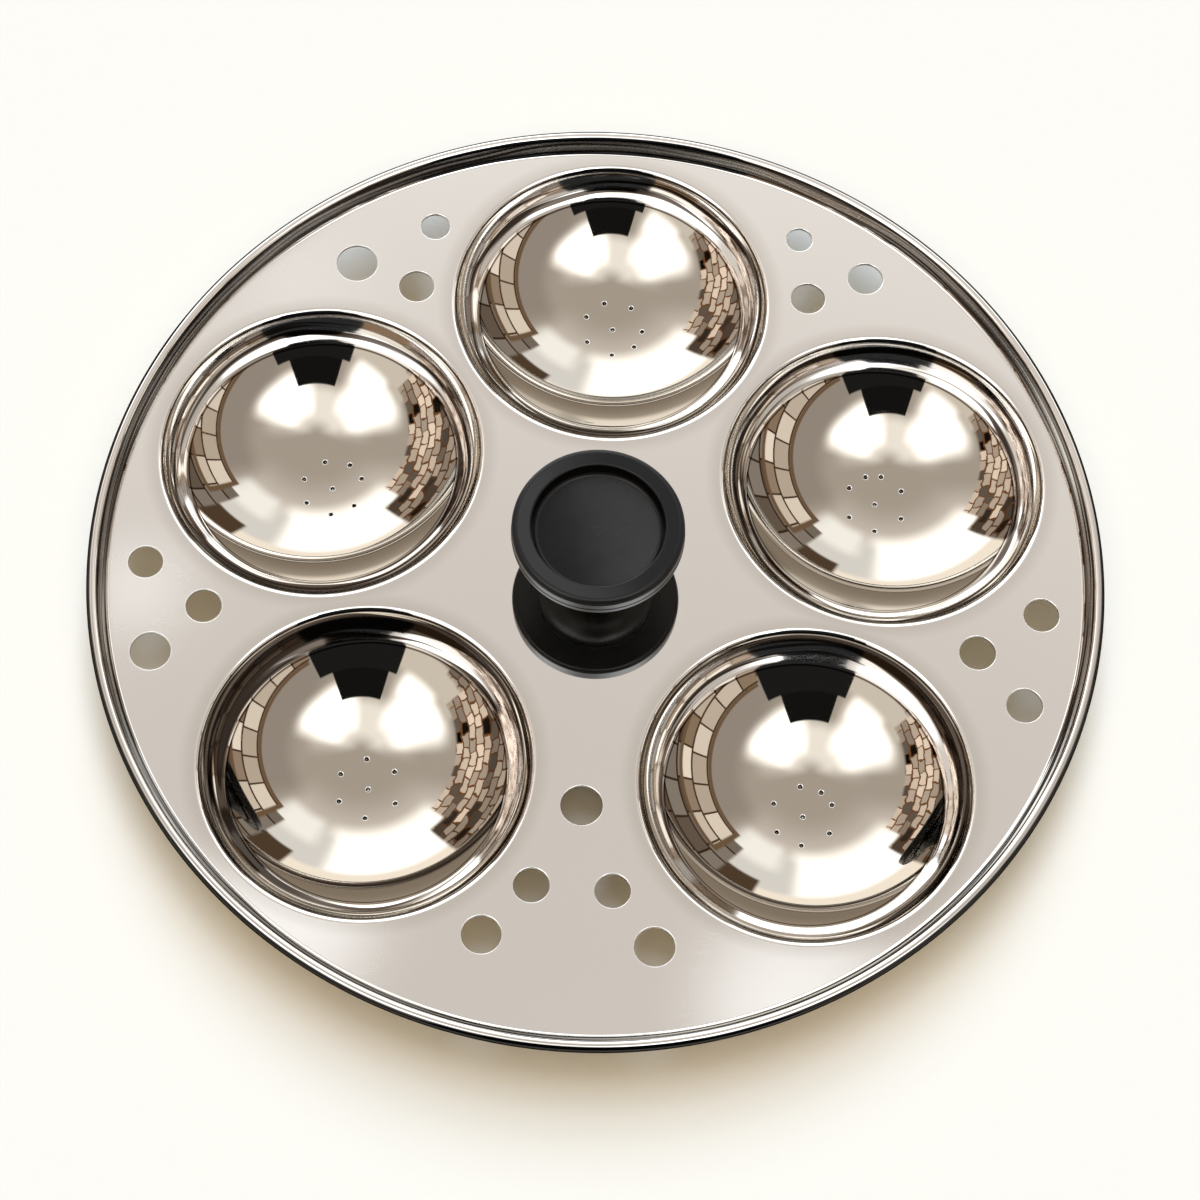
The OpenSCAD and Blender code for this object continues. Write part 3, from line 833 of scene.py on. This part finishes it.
dish_end, dish_rings = gate[0][0] + 0.2, 14
dish = [(r, dish_z - dish_sag * (1 - (r / floor_r) ** 2)) for r in np.linspace(floor_r, dish_end, dish_rings)]
dish += [(r, dish_z - dish_sag + z) for r, z in gate]
in_groove = bell_r + groove_w
moulded, glossy, sanded, pebbled = 0.0, 0.3, 0.6, 1.0
knob_runs = [
    (level(foot_r - foot_edge_r - foot_land, foot_r - foot_edge_r, foot_z, -1), moulded),
    (arc(foot_r - foot_edge_r, foot_z + foot_edge_r, foot_edge_r, -90, 0, 8), moulded),
    (upright(foot_r, foot_z + foot_edge_r, foot_z + foot_t - foot_edge_r), moulded),
    (arc(foot_r - foot_edge_r, foot_z + foot_t - foot_edge_r, foot_edge_r, 0, 90, 8), moulded),
    (quarter(waist_r, foot_z + foot_t, foot_r - foot_edge_r - waist_r, cove_h, True), moulded),
    (quarter(waist_r, bell_base, bell_r - waist_r, bell_h - bell_drop, False), moulded),
    (upright(bell_r, under_z - bell_drop, under_z + groove_depth), moulded),
    (level(bell_r, in_groove, under_z + groove_depth, -1), moulded),
    (upright(in_groove, under_z + groove_depth, under_z, -1), moulded),
    (level(in_groove, cap_r - lower_edge_r, under_z, -1), moulded),
    (arc(cap_r - lower_edge_r, under_z + lower_edge_r, lower_edge_r, -90, 0, 10), glossy),
    (upright(cap_r, under_z + lower_edge_r, flash_z), glossy),
    (sloped([(cap_r - x, flash_z + z) for x, z in flash]), glossy),
    (upright(cap_r - flash_in, flash_z + flash_h, top_z - edge_r), glossy),
    (arc(cap_r - flash_in - edge_r, top_z - edge_r, edge_r, 0, 90, 16), glossy),
    (level(cap_r - flash_in - edge_r, dish_r, top_z, 1), sanded),
    (arc(dish_r, top_z - dish_edge_r, dish_edge_r, 90, 170, 8), glossy),
    (arc(floor_r, dish_z + dish_corner_r, dish_corner_r, -10, -90, 8, hollow=True), glossy),
    (sloped(dish), pebbled)]
knob = Blank()
for run, tag in knob_runs:
    turned(knob, [run], knob_parts, [tag])
hex_band(knob, foot_r - foot_edge_r - foot_land, foot_z, -1, knob_parts)
hex_walls(knob, foot_z, high, -1, knob_parts)
hex_band(knob, bore_r, high, -1, knob_parts)
turned(knob, [level(0, bore_r, foot_z + blind_len, -1), upright(bore_r, foot_z + blind_len, high, -1)],
       knob_parts)

# The phenolic is nearly black all through, with a satin skin. The ring round the dish is rubbed
# matt, the dish is pebbled, and the rounded edges are glossy. A painted sheen grades the shine
# across the knob: towards the right the dish grows shinier and the ring duller.
phenolic = bpy.data.materials.new("black_phenolic")
add, feed = nodes_for(phenolic)
place = add("TexCoord").outputs["Object"]
finish = add("Attribute", {"attribute_name": "finish"}).outputs["Fac"]
in_dish = ramp(add, finish, sanded, pebbled)
on_ring = maths(add, "SUBTRACT", ramp(add, finish, glossy, sanded), in_dish)
haze = noise(add, place, 90.0, 4.0)
tone = mixed(add, haze, (0.007, 0.0067, 0.006, 1), (0.012, 0.0114, 0.0102, 1))
tone = mixed(add, on_ring, tone, (0.014, 0.0133, 0.0118, 1))
feed("Base Color", mixed(add, in_dish, tone, (0.008, 0.0076, 0.0068, 1)))
# A painted sheen: the shine is graded across the knob, towards the right and a little towards the far side.
across = add("VectorMath", {"operation": "DOT_PRODUCT"}, in0=place, in1=(1.0, 0.4, 0.0)).outputs["Value"]
painted_sheen_slope = maths(add, "MULTIPLY_ADD", haze, 0.012, maths(add, "SUBTRACT", across, 0.006))
painted_sheen_slope = ramp(add, painted_sheen_slope, -0.013, 0.010)
gloss = maths(add, "MULTIPLY_ADD", on_ring, maths(add, "MULTIPLY_ADD", painted_sheen_slope, -0.52, 0.24), 0.44)
gloss = maths(add, "MULTIPLY_ADD", in_dish, maths(add, "MULTIPLY_ADD", painted_sheen_slope, 0.62, -0.26), gloss)
feed("Specular IOR Level", gloss)
rough = 0.27
for zone, more in ((on_ring, 0.22), (in_dish, 0.12), (haze, 0.06)):
    rough = maths(add, "MULTIPLY_ADD", zone, more, rough)
feed("Roughness", rough)
feed("IOR", 1.38)
pebble = add("TexNoise", Vector=place, Scale=1700.0, Detail=1.5, Distortion=0.8).outputs[0]
grain = noise(add, place, 5200.0, 2.0)
skin = add("Bump", Strength=1.0, Distance=0.00007, Height=maths(add, "MULTIPLY", pebble, in_dish))
fine = add("Bump", Strength=1.0, Distance=0.000008, Height=grain, Normal=skin.outputs[0])
feed("Normal", fine.outputs[0])

lifting_knob = knob.piece("lifting_knob", phenolic)
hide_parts("knob")
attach(lifting_knob, "knob")

# The floor: a sheet of plain, warm white paper, matt and eight metres across, that the five
# cups stand on and that takes the plate's shadow.
paper_r, paper_rings, paper_parts = 4000, 24, 96
paper = bpy.data.materials.new("paper")
add, feed = nodes_for(paper)
paper_tones = (0.905, 0.845, 0.655, 1), (0.915, 0.855, 0.665, 1)
place = add("TexCoord").outputs["Object"]
fibre = noise(add, place, 400.0, 3.0)
feed("Base Color", mixed(add, fibre, *paper_tones))
feed("Roughness", 1.0)
feed("Specular IOR Level", 0.0)
sheet_of_paper = Blank()
spin(sheet_of_paper, [(paper_r * i / paper_rings, 0) for i in range(paper_rings + 1)],
     [(0, 1)] * (paper_rings + 1), paper_parts)
floor = sheet_of_paper.piece("floor", paper)

# The studio's dome is what the polished metal mirrors: soft lamps on the near side, white
# sheets beyond the plate, a board of panes to the right, a board of blocks to the left and a
# black card low on the near side. Only shiny things see it, and it casts no light or shadow.
dome_r, dome_ring_count, dome_parts = 2500, 24, 96
dome_rings = [math.radians(90 * i / dome_ring_count) for i in range(dome_ring_count + 1)]
dome_shell = Blank()
spin(dome_shell, [(dome_r * math.sin(a), dome_r * math.cos(a)) for a in dome_rings],
     [(-math.sin(a), -math.cos(a)) for a in dome_rings], dome_parts)
dome_light = bpy.data.materials.new("dome_light")
add, feed = nodes_for(dome_light, "Emission")
toward = add("VectorMath", {"operation": "NORMALIZE"}, in0=add("TexCoord").outputs["Object"]).outputs[0]
axis = add("SeparateXYZ", in0=toward).outputs
turn = maths(add, "MULTIPLY", maths(add, "ARCTAN2", axis[0], axis[1]), math.degrees(1))
tilt = maths(add, "MULTIPLY", maths(add, "ARCCOSINE", axis[2]), math.degrees(1))
spread = add("CombineXYZ", in0=turn, in1=tilt, in2=0.0).outputs[0]
shaken = add("TexNoise", Vector=spread, Scale=0.12, Detail=2.0).outputs["Color"]
shaken = add("VectorMath", {"operation": "MULTIPLY_ADD"}, in0=shaken, in1=(7.0, 5.0, 0.0), in2=spread)
panes = add("TexBrick", {"offset": 0.12}, Vector=spread, Scale=1.0, Color1=(1.5, 1.42, 1.3, 1),
            Color2=(0.42, 0.31, 0.22, 1), Mortar=(0.10, 0.055, 0.03, 1))
blocks = add("TexBrick", {"offset": 0.45}, Vector=shaken.outputs[0], Scale=1.0, Color1=(1.5, 1.3, 1.12, 1),
             Color2=(0.0, 0.0, 0.0, 1), Mortar=(0.26, 0.12, 0.05, 1))
mortar_soft = 0.2
for board, gap, width, height in ((panes, 0.55, 15.0, 9.0), (blocks, 0.45, 7.0, 4.2)):
    board.inputs["Mortar Size"].default_value = gap
    board.inputs["Mortar Smooth"].default_value = mortar_soft
    board.inputs["Brick Width"].default_value = width
    board.inputs["Row Height"].default_value = height
panes, blocks = panes.outputs[0], blocks.outputs[0]
unlit = (0.05, 0.03, 0.018, 1)
dim_panes, dim_blocks = mixed(add, 0.74, panes, unlit), mixed(add, 0.5, blocks, unlit)
white, cream, brown = (0.95, 0.98, 1.0), (1.0, 0.95, 0.88), (1.0, 0.66, 0.40)
# Each row hangs one thing, over those before it: where its middle is, half its size and how soft
# its edge is, first in turn, clockwise from the far side, and then in tilt, down from overhead.
studio = [
    # Soft lamps high on the near side.
    (180, 60, 50, 16, 5, 11, (1.0, 1.0, 0.98), 1.5),
    (135, 20, 26, 24, 7, 9, white, 3.2),
    (-122, 15, 24, 30, 8, 11, white, 3.0),
    (-137, 9, 9, 42, 5, 6, white, 2.4),
    # White sheets beyond the plate, one wide and three smaller.
    (-6, 40, 26, 64, 8, 36, (1.0, 0.97, 0.94), 1.15),
    (-19, 24, 12, 62, 10, 12, white, 2.4),
    (24, 12, 9, 63, 9, 10, white, 1.25),
    (30, 9, 9, 52, 4, 8, white, 1.7),
    # The dark foot of the dome all round, with a pale strip and a dark stand beyond the plate.
    (0, 180, 1, 88, 7, 4, brown, 0.16),
    (-4, 42, 4, 82, 5, 4, cream, 1.6),
    (37, 15, 2, 78, 7, 2, brown, 0.13),
    # On the near side, a cream screen and a dark stand under it to the right and to the left.
    (130, 24, 6, 53, 8, 6, cream, 0.50),
    (-133, 24, 5, 56, 7, 6, cream, 1.05),
    (125, 30, 6, 74, 13, 4, brown, 0.18),
    (-130, 26, 5, 75, 12, 4, brown, 0.24),
    # To the right a soft glow and the board of panes, to the left the board of blocks, both dim low down.
    (96, 36, 26, 46, 4, 12, (1.0, 0.92, 0.84), 0.50),
    (92, 56, 2, 74, 17, 1, dim_panes, 1.0),
    (92, 50, 1.5, 61, 9, 0.8, brown, 0.25),
    (94, 49, 1.5, 61, 7, 0.8, panes, 1.0),
    (-84, 44, 2, 76, 16, 3, dim_blocks, 1.0),
    (-82, 33, 2, 59, 9, 2, blocks, 1.0),
    # The black card, in two leaves.
    (176, 21, 0.8, 60, 32, 1, white, 0.012),
    (174, 29, 0.8, 74, 31, 1, white, 0.02),
]
view = (0.66, 0.61, 0.56, 1.0)
for turn_at, turn_half, turn_soft, tilt_at, tilt_half, tilt_soft, colour, strength in studio:
    off = maths(add, "WRAP", maths(add, "SUBTRACT", turn, float(turn_at)), 180.0, -180.0)
    within = ramp(add, maths(add, "ABSOLUTE", off), turn_half + turn_soft, float(turn_half))
    off = maths(add, "ABSOLUTE", maths(add, "SUBTRACT", tilt, float(tilt_at)))
    within = maths(add, "MULTIPLY", within, ramp(add, off, tilt_half + tilt_soft, float(tilt_half)))
    if not isinstance(colour, bpy.types.NodeSocket):
        colour = (*(strength * c for c in colour), 1.0)
    view = mixed(add, within, view, colour)
feed("Color", view)
dome_light.cycles.emission_sampling = "NONE"
dome = dome_shell.piece("dome", dome_light)
dome.visible_camera = dome.visible_diffuse = dome.visible_shadow = dome.visible_transmission = False

# What falls on matt things: four soft lamps in a row, the near one warm and the others cooler,
# over a faint fill. The plate hides the cool ones from the floor in front of it, so its shadow
# is tan. The camera, metal and glass see the pale backdrop instead of the fill.
backdrop_tone, fill_tone = (0.991, 0.983, 0.93, 1.0), (0.155, 0.147, 0.145, 1.0)
world = bpy.data.worlds.new("backdrop")
bpy.context.scene.world = world
add, feed = nodes_for(world, "Background", "OutputWorld")
path = add("LightPath").outputs
seen = maths(add, "MAXIMUM", maths(add, "MAXIMUM", path["Is Camera Ray"], path["Is Glossy Ray"]),
             path["Is Transmission Ray"])
feed("Color", mixed(add, seen, fill_tone, backdrop_tone))
full_share = 3.13
lamps = [(-17, 54, (0.44, 0.395, 0.37)), (8, 30, (0.205, 0.253, 0.37)),
         (25, 26, (0.17, 0.207, 0.285)), (42, 24, (0.12, 0.154, 0.239))]
for tilt_at, width, share in lamps:
    glow = bpy.data.lights.new("soft_lamp", "SUN")
    glow.energy = full_share * max(share) / math.cos(math.radians(tilt_at))
    glow.angle = math.radians(width)
    glow.color = [c / max(share) for c in share]
    lamp = bpy.data.objects.new("soft_lamp", glow)
    lamp.rotation_euler = (math.radians(tilt_at), 0, math.radians(180))
    lamp.visible_glossy = False
    bpy.context.scene.collection.objects.link(lamp)

# The camera: a long lens from the front, 65 degrees above the floor and turned a little
# about its own axis.
lens_mm, film_mm, stand_off = 92.22, 36, 0.7249
lens_tilt, roll, orbit = math.radians(65.01), math.radians(2.70), math.radians(0.27)
aim = Vector((1.18, -8.85, deck_top)) * in_metres
back = Vector((0, -math.cos(lens_tilt), math.sin(lens_tilt)))
right = Vector((1, 0, 0))
up = back.cross(right)
around = Matrix.Rotation(orbit, 3, "Z")
columns = [around @ v for v in (math.cos(roll) * right + math.sin(roll) * up,
                                math.cos(roll) * up - math.sin(roll) * right, back)]
camera_data = bpy.data.cameras.new("camera")
camera_data.sensor_width = film_mm
camera_data.lens = lens_mm
camera_data.clip_start, camera_data.clip_end = 0.05, 20
camera = bpy.data.objects.new("camera", camera_data)
bpy.context.scene.collection.objects.link(camera)
stand = Matrix.Translation(around @ (aim + back * stand_off))
camera.matrix_world = stand @ Matrix(columns).transposed().to_4x4()
bpy.context.scene.camera = camera
bpy.context.scene.view_settings.view_transform = "Standard"
